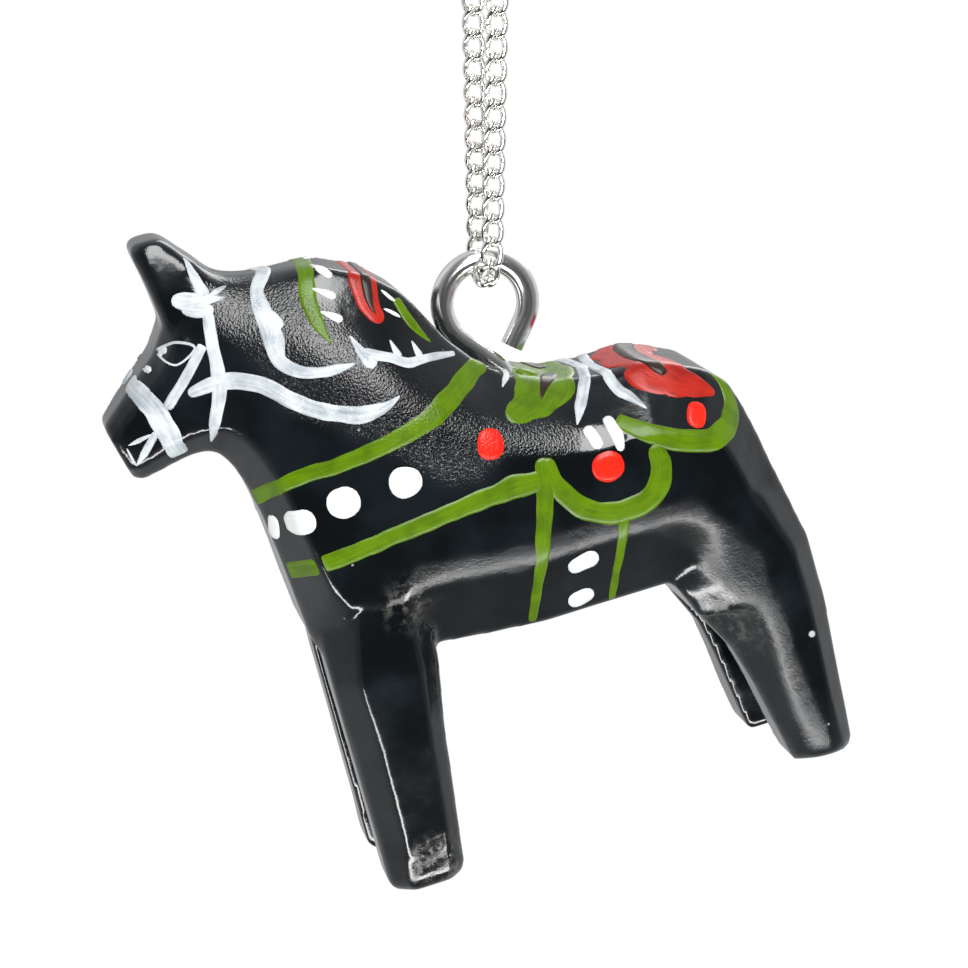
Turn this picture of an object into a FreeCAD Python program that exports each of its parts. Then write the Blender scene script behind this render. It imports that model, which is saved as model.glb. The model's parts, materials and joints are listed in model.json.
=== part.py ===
import FreeCAD, Part
import math
import os
import Sketcher
from FreeCAD import Placement, Rotation, Vector

# A small painted wooden horse that hangs by a screw eye on a fine curb chain.
# Row frame: +Z up, the horse faces -X and its left flank faces -Y. The origin is the centre of
# the spring ring that the pendant hangs from, straight above the screw eye's centre.
# The horse is carved upright in its own frame (first number towards the tail, last number up,
# origin at the middle of the screw eye's loop) and hangs nose-down by hang_tilt.

doc = FreeCAD.newDocument("carved_horse_pendant")
sheet = doc.addObject("Spreadsheet::Sheet", "Dimensions")

DIMENSIONS = [
    # the carved horse and its screw hole
    ("carving_scale", 1.0),        # 1 gives a horse 29.5 mm high from feet to ears
    ("hang_tilt", 14.0),           # degrees, nose down, as it hangs at rest
    ("leg_gap", 2.8),              # slot sawn between the left and the right legs
    ("pilot_radius", 0.36),
    ("pilot_bottom", 6.2),         # below the middle of the eye's loop
    # the screw eye
    ("eye_wire", 0.96),            # wire diameter
    ("eye_loop_radius", 1.86),     # to the middle of the wire
    ("eye_apex", 2.92),            # loop's middle down to where the wire bends into the shank
    ("eye_open_end", 1.05),        # apex to the wire's cut end, along the right side
    ("shank_length", 2.9),
    ("thread_pitch", 0.45),
    ("thread_depth", 0.14),
    # one curb link
    ("link_wire", 0.25),
    ("link_half_length", 0.62),    # link's middle to the middle of the wire at an end
    ("link_half_width", 0.37),
    ("link_twist", 47.0),          # degrees that each end is turned from the link's middle
    ("link_pitch", 0.945),
    ("bight_radius", 0.98),        # middle line of the links that wrap the eye's wire
    # how the two strands run up to the jump ring
    ("strand_spread", 0.50),       # half the distance between the strands' tops, along X
    ("strand_top_depth", 0.16),    # the same along Y
    ("strand_shift", 0.08),        # sideways place of the strands beside the eye's wire
    ("end_ring_radius", 0.525),
    # jump ring and clasp
    ("jump_wire", 0.30),
    ("jump_radius", 1.35),
    ("eyelet_wire", 0.40),
    ("eyelet_radius", 0.62),
    ("clasp_radius", 2.0),         # to the middle of the tube
    ("clasp_tube", 1.15),
    ("clasp_bore", 0.81),
    ("bolt_wire", 0.62),
    ("mouth_start", 15.0),         # degrees round the ring from +X towards +Z
    ("mouth_end", 77.0),
    ("bolt_travel", 72.0),
    ("running_gap", 0.02),
]
for row, (alias, number) in enumerate(DIMENSIONS, start=1):
    sheet.set(f"A{row}", alias)
    sheet.set(f"B{row}", str(number))
    sheet.setAlias(f"B{row}", alias)
doc.recompute()

STRAND_ROWS = 13
SHEET = "Dimensions."


def size(alias):
    return float(sheet.get(alias))


# ---------------------------------------------------------------- places worked out from sizes

clasp_outer = size("clasp_radius") + size("clasp_tube") / 2
eyelet_z = -clasp_outer - size("eyelet_radius")
eyelet_seat = eyelet_z - size("eyelet_radius") + size("eyelet_wire") / 2
jump_top = eyelet_seat + size("jump_wire") / 2 + size("running_gap")
jump_z = jump_top - size("jump_radius")

contact_gap = (size("link_half_length") * 2 - size("link_pitch")) / 2
end_ring_drop = size("end_ring_radius") * 2 - contact_gap
ring_under_end = size("link_wire") / 2 + size("jump_wire") / 2 + size("running_gap")
jump_low = jump_z - math.sqrt(size("jump_radius") ** 2 - size("strand_spread") ** 2)
strand_top_z = jump_low + ring_under_end - end_ring_drop

half_turn = math.asin(size("link_pitch") / 2 / size("bight_radius"))
strand_low_y = size("bight_radius") * math.sin(3 * half_turn)
strand_length = STRAND_ROWS * size("link_pitch")
strand_drop = math.sqrt(
    strand_length**2
    - (size("strand_spread") - size("strand_shift")) ** 2
    - (strand_low_y - size("strand_top_depth")) ** 2
)
strand_low_z = strand_top_z - strand_drop
wire_top_z = strand_low_z + size("bight_radius") * math.cos(3 * half_turn)
eye_z = wire_top_z - size("eye_loop_radius")

hang = Placement(Vector(0, 0, eye_z), Rotation(Vector(0, 1, 0), -size("hang_tilt")))


def strand_point(side, rows_down):
    """Point on a strand's middle line; side is -1 for the front strand and 1 for the back one."""
    top = Vector(-side * size("strand_spread"), side * size("strand_top_depth"), strand_top_z)
    low = Vector(-side * size("strand_shift"), side * strand_low_y, strand_low_z)
    return top + (low - top) * (rows_down / STRAND_ROWS)


# ---------------------------------------------------------------- helpers


def bind(thing, **expressions):
    for name, expression in expressions.items():
        thing.setExpression(name, expression)
    return thing


def booleans(kind, name, base, tool):
    result = doc.addObject(f"Part::{kind}", name)
    result.Base = base
    result.Tool = tool
    return result


def fuse(name, pieces):
    result = doc.addObject("Part::MultiFuse", name)
    result.Shapes = pieces
    return result


def closed_outline(name, points):
    outline = doc.addObject("Part::Polygon", name)
    outline.Nodes = points
    outline.Close = True
    return outline


def carved(name, outlines):
    """A solid with straight knife cuts from each outline to the next."""
    loft = doc.addObject("Part::Loft", name)
    loft.Sections = [
        closed_outline(f"{name}_cut_{number}", points) for number, points in enumerate(outlines)
    ]
    loft.Solid = True
    loft.Ruled = True
    return loft


def arc_tube(name, ring_radius, tube_radius, start, sweep):
    """Part of a torus in the XZ plane, from start degrees, turning from +X towards +Z."""
    tube = doc.addObject("Part::Torus", name)
    bind(tube, Radius1=ring_radius, Radius2=tube_radius, Angle3=sweep)
    upright = Rotation(Vector(1, 0, 0), 90)
    tube.Placement = Placement(Vector(), upright.multiply(Rotation(Vector(0, 0, 1), start)))
    return tube


# ---------------------------------------------------------------- the carved horse

# Cuts across the horse from rump to nose. Each is a line from the underside to the top line, in
# the side view, with the half widths of its flat underside, flank and flat top, and how far the
# flank stays from each end: the cuts between them are the long facets left by the knife.
TRUNK_CUTS = [
    # under            top             under  flank  top   rise  fall
    ((5.20, -15.1), (10.72, -15.3), 3.6, 4.35, 3.5, 1.6, 1.0),
    ((4.70, -13.9), (10.64, -13.0), 3.4, 4.48, 3.4, 2.0, 1.1),
    ((4.50, -13.5), (10.28, -11.3), 3.2, 4.50, 3.2, 2.4, 1.4),
    ((4.40, -13.4), (9.85, -9.50), 3.0, 4.50, 3.0, 2.8, 1.8),
    ((4.30, -13.4), (9.60, -8.10), 2.9, 4.50, 2.8, 3.1, 2.0),
    ((4.10, -13.4), (9.30, -6.85), 2.9, 4.50, 2.6, 3.3, 2.2),
    ((3.90, -13.4), (8.90, -5.68), 2.9, 4.50, 2.5, 3.5, 2.4),
    ((3.60, -13.4), (8.05, -4.85), 2.9, 4.50, 2.5, 3.5, 2.5),
    ((3.20, -13.4), (6.70, -4.25), 2.9, 4.50, 2.4, 3.4, 2.5),
    ((2.50, -13.4), (5.40, -3.84), 2.9, 4.48, 2.3, 3.3, 2.5),
    ((1.60, -13.4), (3.70, -3.87), 2.9, 4.44, 2.2, 3.3, 2.3),
    ((0.30, -13.4), (1.70, -3.62), 2.9, 4.42, 2.1, 3.2, 2.2),
    ((-1.3, -13.4), (0.00, -2.88), 2.9, 4.42, 2.1, 3.2, 2.3),
    ((-3.3, -13.2), (-1.25, -1.88), 2.9, 4.42, 2.0, 3.2, 2.6),
    ((-5.9, -12.9), (-2.25, -0.60), 2.9, 4.44, 2.0, 3.2, 3.0),
    ((-9.3, -12.9), (-2.72, 0.22), 2.8, 4.44, 1.9, 3.1, 3.2),
    ((-10.65, -12.4), (-3.20, 1.10), 2.7, 4.38, 1.9, 2.9, 3.4),
    ((-11.05, -11.0), (-3.70, 1.90), 2.5, 4.28, 1.8, 2.6, 3.5),
    ((-11.22, -9.20), (-4.50, 2.62), 2.4, 4.10, 1.8, 2.3, 3.5),
    ((-11.38, -7.30), (-5.40, 3.15), 2.3, 3.85, 1.7, 2.1, 3.3),
    ((-11.58, -5.60), (-6.40, 3.63), 2.2, 3.60, 1.6, 1.9, 3.0),
    ((-11.85, -4.25), (-7.40, 3.86), 2.0, 3.30, 1.5, 1.7, 2.7),
    ((-12.15, -3.30), (-8.45, 3.93), 1.8, 3.05, 1.4, 1.5, 2.4),
    ((-12.55, -2.65), (-9.60, 4.05), 1.6, 2.78, 1.4, 1.3, 2.0),
    ((-13.05, -2.45), (-10.7, 4.35), 1.4, 2.50, 1.5, 1.1, 1.5),
    ((-13.60, -2.45), (-13.0, 3.60), 1.3, 2.25, 1.5, 1.0, 1.2),
    ((-14.30, -2.60), (-14.1, 2.00), 1.2, 2.02, 1.3, 0.9, 1.0),
    ((-15.10, -2.80), (-15.1, 1.15), 1.1, 1.84, 1.2, 0.8, 0.8),
    ((-15.80, -2.95), (-16.1, 0.25), 1.0, 1.66, 1.1, 0.7, 0.7),
    ((-16.20, -2.80), (-16.8, -0.40), 0.9, 1.45, 1.0, 0.6, 0.6),
]

# Cuts across the ears' single block: height, front, back, half width.
EAR_CUTS = [
    (2.40, -13.30, -9.70, 1.90),
    (4.20, -13.48, -10.55, 1.82),
    (5.00, -13.60, -11.20, 1.72),
    (5.75, -13.75, -11.85, 1.60),
    (6.30, -13.82, -12.30, 1.50),
    (6.55, -13.60, -12.65, 1.32),
]
EAR_BEVEL = 0.28

# Cuts across a leg: height, front, back, outer side, front bevel, back bevel.
FRONT_LEG_CUTS = [
    (-8.00, -9.40, -6.60, 4.00, 1.50, 1.00),
    (-10.6, -10.72, -6.05, 4.42, 1.60, 0.95),
    (-13.2, -10.76, -6.14, 4.48, 1.10, 0.95),
    (-16.4, -10.72, -6.68, 4.50, 1.20, 0.80),
    (-20.5, -10.68, -7.14, 4.50, 1.10, 0.70),
    (-22.4, -10.68, -7.36, 4.45, 0.85, 0.65),
    (-22.8, -10.44, -7.58, 4.22, 0.75, 0.55),
]
HIND_LEG_CUTS = [
    (-8.50, 4.80, 9.00, 3.90, 1.20, 1.20),
    (-10.5, 4.30, 9.95, 4.40, 1.60, 1.20),
    (-13.0, 4.60, 10.62, 4.48, 2.50, 1.05),
    (-15.5, 5.50, 10.74, 4.50, 2.25, 1.00),
    (-17.1, 6.40, 10.71, 4.50, 1.70, 0.95),
    (-18.9, 6.92, 10.66, 4.50, 1.25, 0.90),
    (-20.6, 7.30, 10.62, 4.50, 1.00, 0.90),
    (-22.4, 7.76, 10.58, 4.45, 0.80, 0.85),
    (-22.8, 7.92, 10.42, 4.25, 0.75, 0.75),
]
# The carver's hand: how far forward each right leg strays from the left one at the foot.
FRONT_RIGHT_LEAD = 0.05
HIND_RIGHT_LEAD = 0.50
FOOT_HEIGHT = -22.8
LEAD_STARTS = -14.0


def carve_point(along, across, up):
    return Vector(along, across, up) * size("carving_scale")


def trunk_outline(cut):
    (low_u, low_v), (top_u, top_v), under, flank, top, rise, fall = cut
    reach = math.hypot(top_u - low_u, top_v - low_v)
    step_u, step_v = (top_u - low_u) / reach, (top_v - low_v) / reach
    half = [(0, under), (rise, flank), (reach - fall, flank), (reach, top)]
    left = [(s, -width) for s, width in half]
    right = [(s, width) for s, width in reversed(half)]
    return [carve_point(low_u + s * step_u, y, low_v + s * step_v) for s, y in left + right]


def ear_outline(cut):
    up, front, back, half = cut
    cut_in = EAR_BEVEL
    corners = [
        (front + cut_in, -half), (back - cut_in, -half), (back, -half + cut_in),
        (back, half - cut_in), (back - cut_in, half), (front + cut_in, half),
        (front, half - cut_in), (front, -half + cut_in),
    ]
    return [carve_point(along, across, up) for along, across in corners]


def leg_outline(cut, side, lead):
    up, front, back, outer, front_bevel, back_bevel = cut
    inner = size("leg_gap") / 2
    stray = lead * min(1, max(0, (LEAD_STARTS - up) / (LEAD_STARTS - FOOT_HEIGHT)))
    corners = [
        (front, inner), (front, outer - front_bevel), (front + front_bevel, outer),
        (back - back_bevel, outer), (back, outer - back_bevel), (back, inner),
    ]
    return [carve_point(along - stray, side * across, up) for along, across in corners]


def make_horse_body():
    pieces = [carved("trunk", [trunk_outline(cut) for cut in TRUNK_CUTS])]
    pieces.append(carved("ears", [ear_outline(cut) for cut in EAR_CUTS]))
    legs = [
        ("front_left", FRONT_LEG_CUTS, -1, 0),
        ("front_right", FRONT_LEG_CUTS, 1, FRONT_RIGHT_LEAD),
        ("hind_left", HIND_LEG_CUTS, -1, 0),
        ("hind_right", HIND_LEG_CUTS, 1, HIND_RIGHT_LEAD),
    ]
    for name, cuts, side, lead in legs:
        pieces.append(carved(name, [leg_outline(cut, side, lead) for cut in cuts]))
    blank = fuse("carved_blank", pieces)
    hole = doc.addObject("Part::Cylinder", "screw_hole")
    bind(hole, Radius=f"{SHEET}pilot_radius", Height=f"{SHEET}pilot_bottom")
    bind(hole, **{"Placement.Base.z": f"-{SHEET}pilot_bottom"})
    horse = booleans("Cut", "horse_body", blank, hole)
    horse.Placement = hang
    return horse


# ---------------------------------------------------------------- the screw eye


def origin_plane(body, role):
    return next(plane for plane in body.Origin.OriginFeatures if plane.Role == role)


SHANK_BEND = 0.9        # radius of the wire's middle where the loop turns into the shank
GROOVE_COUNT = 5
GROOVE_HALF_WIDTH = 0.42        # of one pitch
GROOVE_CLEAR = 0.05             # how far outside the wire the groove's section starts


def make_screw_eye():
    """Bent wire: threaded shank, bend, straight side, round loop, straight side, cut end."""
    body = doc.addObject("PartDesign::Body", "screw_eye")
    radius = size("eye_loop_radius")
    apex = Vector(0, -size("eye_apex"))
    lean = math.asin(radius / size("eye_apex"))
    run = math.sqrt(size("eye_apex") ** 2 - radius**2)
    left_tangent = Vector(-run * math.sin(lean), apex.y + run * math.cos(lean))
    right_tangent = Vector(-left_tangent.x, left_tangent.y)
    open_end = Vector(
        size("eye_open_end") * math.sin(lean), apex.y + size("eye_open_end") * math.cos(lean)
    )
    setback = SHANK_BEND * math.tan(lean / 2)
    shank_top = Vector(0, apex.y - setback)
    bend_end = apex + Vector(-math.sin(lean), math.cos(lean)) * setback
    bend_centre = Vector(-SHANK_BEND, shank_top.y)
    bend_middle = bend_centre + Vector(math.cos(lean / 2), math.sin(lean / 2)) * SHANK_BEND
    shank_end = Vector(0, apex.y - size("shank_length"))

    spine = body.newObject("Sketcher::SketchObject", "eye_wire_line")
    spine.AttachmentSupport = (origin_plane(body, "XZ_Plane"), "")
    spine.MapMode = "FlatFace"
    runs = [
        Part.LineSegment(shank_end, shank_top),
        Part.Arc(shank_top, bend_middle, bend_end),
        Part.LineSegment(bend_end, left_tangent),
        Part.Arc(left_tangent, Vector(0, radius), right_tangent),
        Part.LineSegment(right_tangent, open_end),
    ]
    spine.addGeometry(runs, False)

    profile = body.newObject("Sketcher::SketchObject", "eye_wire_section")
    profile.AttachmentSupport = (origin_plane(body, "XY_Plane"), "")
    profile.MapMode = "FlatFace"
    profile.AttachmentOffset = Placement(Vector(0, 0, shank_end.y), Rotation())
    profile.addGeometry(Part.Circle(Vector(), Vector(0, 0, 1), size("eye_wire") / 2), False)
    profile.addConstraint(Sketcher.Constraint("Coincident", 0, 3, -1, 1))
    profile.addConstraint(Sketcher.Constraint("Radius", 0, size("eye_wire") / 2))
    profile.renameConstraint(1, "wire_radius")
    profile.setExpression("Constraints.wire_radius", f"{SHEET}eye_wire / 2")
    doc.recompute()

    wire = body.newObject("PartDesign::AdditivePipe", "eye_wire_pipe")
    wire.Profile = profile
    wire.Spine = (spine, [])
    doc.recompute()

    groove = body.newObject("Sketcher::SketchObject", "thread_groove_section")
    groove.AttachmentSupport = (origin_plane(body, "XZ_Plane"), "")
    groove.MapMode = "FlatFace"
    outer = size("eye_wire") / 2 + GROOVE_CLEAR
    root = size("eye_wire") / 2 - size("thread_depth")
    flank = size("thread_pitch") * GROOVE_HALF_WIDTH
    first = shank_end.y + size("thread_pitch")
    corners = [Vector(outer, first - flank), Vector(root, first), Vector(outer, first + flank)]
    groove.addGeometry(
        [Part.LineSegment(corners[i], corners[(i + 1) % 3]) for i in range(3)], False
    )
    for i in range(3):
        groove.addConstraint(Sketcher.Constraint("Coincident", i, 2, (i + 1) % 3, 1))
    doc.recompute()
    thread = body.newObject("PartDesign::Groove", "thread_groove")
    thread.Profile = groove
    thread.ReferenceAxis = (groove, ["V_Axis"])
    thread.Angle = 360
    doc.recompute()
    rows = body.newObject("PartDesign::LinearPattern", "thread_grooves")
    rows.Originals = [thread]
    rows.Direction = (origin_plane(body, "XY_Plane"), [""])
    rows.Occurrences = GROOVE_COUNT
    rows.Length = size("thread_pitch") * (GROOVE_COUNT - 1)
    body.Tip = rows
    doc.recompute()
    body.Placement = hang
    return body


# ---------------------------------------------------------------- the curb chain


LINK_STATIONS = 16
LINK_FULLNESS = 2 / 2.3         # 1 is an ellipse; less is squarer


def curb_link_solid():
    """One closed oval of round wire, twisted about its length so that the chain lies flat."""
    points = []
    for station in range(LINK_STATIONS):
        turn = 2 * math.pi * station / LINK_STATIONS
        across = math.copysign(abs(math.cos(turn)) ** LINK_FULLNESS, math.cos(turn))
        along = math.copysign(abs(math.sin(turn)) ** LINK_FULLNESS, math.sin(turn))
        twist = math.radians(size("link_twist")) * along
        width = across * size("link_half_width")
        points.append(
            Vector(
                width * math.cos(twist), width * math.sin(twist), along * size("link_half_length")
            )
        )
    line = Part.BSplineCurve()
    line.interpolate(Points=points, PeriodicFlag=True)
    start, end = line.FirstParameter, line.LastParameter
    middle = (start + end) / 2
    halves = []
    for first, last in ((start, middle), (middle, end)):
        edge = line.toShape(first, last)
        section = Part.Circle(line.value(first), edge.tangentAt(first), size("link_wire") / 2)
        path = Part.Wire([edge])
        halves.append(path.makePipeShell([Part.Wire([section.toShape()])], True, True))
    return halves[0].fuse(halves[1]).Solids[0]


def make_link(name, middle, length_direction, thickness_direction, solid):
    """Stand one link at its middle, its length and its thin way turned as given."""
    up = Vector(length_direction).normalize()
    out = Vector(thickness_direction)
    out = (out - up * out.dot(up)).normalize()
    width = out.cross(up)
    turn = Rotation(width, out, up, "ZXY")
    link = doc.addObject("Part::Feature", name)
    link.Shape = solid
    link.Placement = Placement(middle, turn)
    return link


def make_end_ring(name, side):
    """The closed ring at the top of a strand, standing across the jump ring's wire."""
    strand_up = (strand_point(side, 0) - strand_point(side, STRAND_ROWS)).normalize()
    low_wire = strand_point(side, 0) - strand_up * (contact_gap / 2)
    ring = doc.addObject("Part::Torus", name)
    bind(ring, Radius1=f"{SHEET}end_ring_radius", Radius2=f"{SHEET}link_wire / 2")
    ring.Placement = Placement(
        low_wire + Vector(0, 0, size("end_ring_radius")), Rotation(Vector(0, 1, 0), 90)
    )
    return ring


def make_chain():
    solid = curb_link_solid()
    pieces = []
    sides = (("front", -1), ("back", 1))
    for strand, side in sides:
        pieces.append(make_end_ring(f"{strand}_end_ring", side))
    for row_number in range(1, STRAND_ROWS + 1):
        for strand, side in sides:
            upper = strand_point(side, row_number - 1)
            lower = strand_point(side, row_number)
            name = f"{strand}_link_{row_number:02d}"
            middle = (upper + lower) / 2
            pieces.append(make_link(name, middle, upper - lower, Vector(0, 1, 0), solid))
    apothem = size("bight_radius") * math.cos(half_turn)
    for place, step in (("front", -1), ("under", 0), ("back", 1)):
        turn = 2 * half_turn * step
        outward = Vector(0, math.sin(turn), -math.cos(turn))
        along = Vector(0, math.cos(turn), math.sin(turn))
        middle = Vector(0, 0, wire_top_z) + outward * apothem
        pieces.append(make_link(f"bight_link_{place}", middle, along, outward, solid))
    return pieces


# ---------------------------------------------------------------- jump ring and spring ring

LEVER_START = 18.0      # degrees from the mouth's end to the lever, with the bolt closed
LEVER_SPARE = 5.0       # degrees of slot left beyond the lever at each end of its travel
LEVER_SLOT = 0.17       # half width of the slot
LEVER_PIN = 0.12        # radius
LEVER_KNOB = 0.24       # radius
LEVER_REACH = 0.42      # knob's middle beyond the tube
BOLT_TIP_LAP = 9.0      # degrees that the closed bolt's tip reaches into the far side
BOLT_TAIL = 70.0        # degrees of bolt that stay inside the tube
BORE_SPARE = 3.0        # degrees that the bore's cutter runs past each cut end of the tube
SPRING_GAP = 1.0        # degrees between the bolt and its spring
SPRING_END = 262.0      # degrees round the ring where the spring is anchored
SEAT_ARC = (200, 140)   # degrees round the ring that the eyelet's seat is cut from


def make_jump_ring():
    ring = arc_tube("jump_ring", f"{SHEET}jump_radius", f"{SHEET}jump_wire / 2", 0, "360")
    ring.Placement.Base = Vector(0, 0, jump_z)
    return ring


def make_clasp_ring():
    """A hollow ring of tube with a mouth, and a slot in its outer wall for the bolt's lever."""
    sweep = f"360 - {SHEET}mouth_end + {SHEET}mouth_start"
    ring_radius = f"{SHEET}clasp_radius"
    tube = arc_tube(
        "ring_tube", ring_radius, f"{SHEET}clasp_tube / 2", size("mouth_end"), sweep
    )
    bore = arc_tube(
        "ring_bore", ring_radius, f"{SHEET}clasp_bore / 2", size("mouth_end") - BORE_SPARE,
        f"{sweep} + {2 * BORE_SPARE}",
    )
    wall_middle = f"{SHEET}clasp_radius + ({SHEET}clasp_tube + {SHEET}clasp_bore) / 4"
    slot = arc_tube(
        "lever_slot", wall_middle, str(LEVER_SLOT),
        size("mouth_end") + LEVER_START - LEVER_SPARE,
        f"{SHEET}bolt_travel + {2 * LEVER_SPARE}",
    )
    return booleans("Cut", "clasp_ring", tube, fuse("ring_cutters", [bore, slot]))


def make_clasp_bolt():
    """A curved rod that slides inside the ring and closes its mouth, with a thumb lever."""
    start = size("mouth_start") - BOLT_TIP_LAP
    rod = arc_tube(
        "bolt_rod", f"{SHEET}clasp_radius", f"{SHEET}bolt_wire / 2", start,
        f"{SHEET}mouth_end - {SHEET}mouth_start + {BOLT_TIP_LAP + BOLT_TAIL}",
    )
    angle = math.radians(size("mouth_end") + LEVER_START)
    radial = Vector(math.cos(angle), 0, math.sin(angle))
    knob_reach = clasp_outer + LEVER_REACH
    pin = doc.addObject("Part::Cylinder", "lever_pin")
    pin.Radius = LEVER_PIN
    pin.Height = knob_reach - size("clasp_radius")
    pin.Placement = Placement(radial * size("clasp_radius"), Rotation(Vector(0, 0, 1), radial))
    knob = doc.addObject("Part::Sphere", "lever_knob")
    knob.Radius = LEVER_KNOB
    knob.Placement.Base = radial * knob_reach
    return fuse("clasp_bolt", [rod, pin, knob])


def make_clasp_spring():
    """The outer shape of the coil spring packed behind the bolt, inside the tube."""
    behind_bolt = size("mouth_end") + BOLT_TAIL + SPRING_GAP
    return arc_tube(
        "clasp_spring", f"{SHEET}clasp_radius", f"{SHEET}bolt_wire / 2", behind_bolt,
        str(SPRING_END - behind_bolt),
    )


def make_clasp_eyelet():
    """The small ring soldered under the spring ring, seated against the tube."""
    loop = doc.addObject("Part::Torus", "eyelet_loop")
    bind(loop, Radius1=f"{SHEET}eyelet_radius", Radius2=f"{SHEET}eyelet_wire / 2")
    loop.Placement = Placement(Vector(0, 0, eyelet_z), Rotation(Vector(0, 1, 0), 90))
    seat = arc_tube(
        "eyelet_seat", f"{SHEET}clasp_radius", f"{SHEET}clasp_tube / 2", SEAT_ARC[0],
        str(SEAT_ARC[1]),
    )
    return booleans("Cut", "clasp_eyelet", loop, seat)


SUB_PARTS = [make_horse_body(), make_screw_eye(), *make_chain(), make_jump_ring()]
SUB_PARTS += [make_clasp_ring(), make_clasp_bolt(), make_clasp_spring(), make_clasp_eyelet()]
for sub_part in SUB_PARTS:
    sub_part.Label = sub_part.Name
doc.recompute()

# ---------------------------------------------------------------- check and write

for thing in doc.Objects:
    if "Invalid" in thing.State or "Error" in thing.State:
        raise RuntimeError(f"{thing.Name} did not build: {thing.State}")
for sub_part in SUB_PARTS:
    shape = sub_part.Shape
    if shape.isNull() or not shape.isValid() or not shape.Solids:
        raise RuntimeError(f"{sub_part.Label} has no valid solid")

os.makedirs("parts", exist_ok=True)
for sub_part in SUB_PARTS:
    sub_part.Shape.exportStep(f"parts/{sub_part.Label}.step")
    box = sub_part.Shape.BoundBox
    print(
        f"{sub_part.Label}: {len(sub_part.Shape.Solids)} solid, {sub_part.Shape.Volume:.3f} mm3, "
        f"z {box.ZMin:.2f} to {box.ZMax:.2f}"
    )
print(f"eye_z {eye_z:.4f} strand_top_z {strand_top_z:.4f} wire_top_z {wire_top_z:.4f}")
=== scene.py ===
# %% [markdown]
# # A painted wooden horse on a curb chain
#
# The horse is a small piece of carved wood under thick black lacquer, painted by hand with
# green, red and white strokes. It hangs by a screw eye from a doubled silver chain. The hard
# parts come ready made as a fixed frame in metres. This lesson gives the wood its soft, dipped
# surface, lays each brush stroke on it as a thin skin of paint, and gives every piece a finish.

import json
import math

import bmesh
import bpy
from mathutils import Euler, Matrix, Vector, noise
from mathutils.bvhtree import BVHTree


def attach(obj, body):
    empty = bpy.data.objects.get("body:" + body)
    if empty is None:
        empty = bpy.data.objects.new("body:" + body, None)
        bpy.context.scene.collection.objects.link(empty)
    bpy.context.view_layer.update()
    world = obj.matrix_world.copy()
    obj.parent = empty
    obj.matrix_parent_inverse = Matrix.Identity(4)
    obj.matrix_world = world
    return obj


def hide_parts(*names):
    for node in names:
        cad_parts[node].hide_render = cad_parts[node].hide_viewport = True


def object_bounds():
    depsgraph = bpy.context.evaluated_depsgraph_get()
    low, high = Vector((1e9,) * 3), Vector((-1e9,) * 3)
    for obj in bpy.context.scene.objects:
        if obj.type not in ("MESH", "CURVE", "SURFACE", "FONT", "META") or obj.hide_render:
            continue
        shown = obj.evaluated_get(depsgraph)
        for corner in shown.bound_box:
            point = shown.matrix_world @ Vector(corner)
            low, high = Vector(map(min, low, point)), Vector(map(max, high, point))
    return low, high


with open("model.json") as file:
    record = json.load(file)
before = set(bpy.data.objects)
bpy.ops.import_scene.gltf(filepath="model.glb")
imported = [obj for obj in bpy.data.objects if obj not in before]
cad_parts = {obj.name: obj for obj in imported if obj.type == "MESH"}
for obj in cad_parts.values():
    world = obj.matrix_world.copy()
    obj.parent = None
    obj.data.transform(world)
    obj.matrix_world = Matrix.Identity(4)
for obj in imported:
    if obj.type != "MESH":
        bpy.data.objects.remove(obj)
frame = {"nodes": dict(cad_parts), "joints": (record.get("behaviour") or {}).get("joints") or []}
cad_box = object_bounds()
joints = {joint["name"]: joint for joint in frame["joints"]}
MM = 0.001

# %% [markdown]
# The horse was carved upright and hangs nose-down from the middle of the screw eye's loop, so
# all work on it is done in the carver's own frame: millimetres, along the back, across, and up
# from the loop's middle. One matrix carries that frame to the place where the horse hangs.

# %% The carver's frame
HANG_TILT = math.radians(14)
eye_centre = Vector(joints["horse_pitch"]["pos_m"])
carved_to_row = (
    Matrix.Translation(eye_centre) @ Matrix.Rotation(-HANG_TILT, 4, "Y") @ Matrix.Scale(MM, 4)
)
row_to_carved = carved_to_row.inverted()
print("middle of the eye's loop", [round(x, 5) for x in eye_centre])

# %% [markdown]
# A long lens from a little in front of the flank and a little above shows the flank almost
# square on, with the backs of the legs just hidden. The camera looks at a point under the
# screw eye so that the chain runs out of the top of the frame.

# %% Camera
VIEW_AZIMUTH, VIEW_ELEVATION = math.radians(-12.5), math.radians(13.3)
VIEW_DISTANCE = 0.110
LOOK_BELOW_EYE = 0.00764
LOOK_LEFT_OF_EYE = 0.00004
LENS = 96.95
NEAREST_SEEN, FARTHEST_SEEN = 0.004, 20.0

to_camera = Vector((
    math.sin(VIEW_AZIMUTH) * math.cos(VIEW_ELEVATION),
    -math.cos(VIEW_AZIMUTH) * math.cos(VIEW_ELEVATION),
    math.sin(VIEW_ELEVATION),
))
facing = to_camera.to_track_quat("Z", "Y").to_matrix()
view_right, view_up = facing.col[0], facing.col[1]
look_at = eye_centre - view_up * LOOK_BELOW_EYE - view_right * LOOK_LEFT_OF_EYE
camera_data = bpy.data.cameras.new("camera")
camera_data.lens = LENS
camera_data.clip_start = NEAREST_SEEN
camera_data.clip_end = FARTHEST_SEEN
camera = bpy.data.objects.new("camera", camera_data)
camera.matrix_world = Matrix.Translation(look_at + to_camera * VIEW_DISTANCE) @ facing.to_4x4()
bpy.context.scene.collection.objects.link(camera)
bpy.context.scene.camera = camera
print("camera at", [round(x, 4) for x in camera.matrix_world.translation])

# %% [markdown]
# Lacquer and silver show what is around them. A bright studio all round would turn both grey,
# so the room that they reflect is dark on the camera's side and pale behind and above, while
# the wall seen directly is plain white. Three soft lights do the rest: a wide one high in
# front, which glances off the shoulder, a long low one, which lights the belly's edge and the
# legs, and a faint one behind. The white floor lies far below and stays out of reflections.


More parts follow.
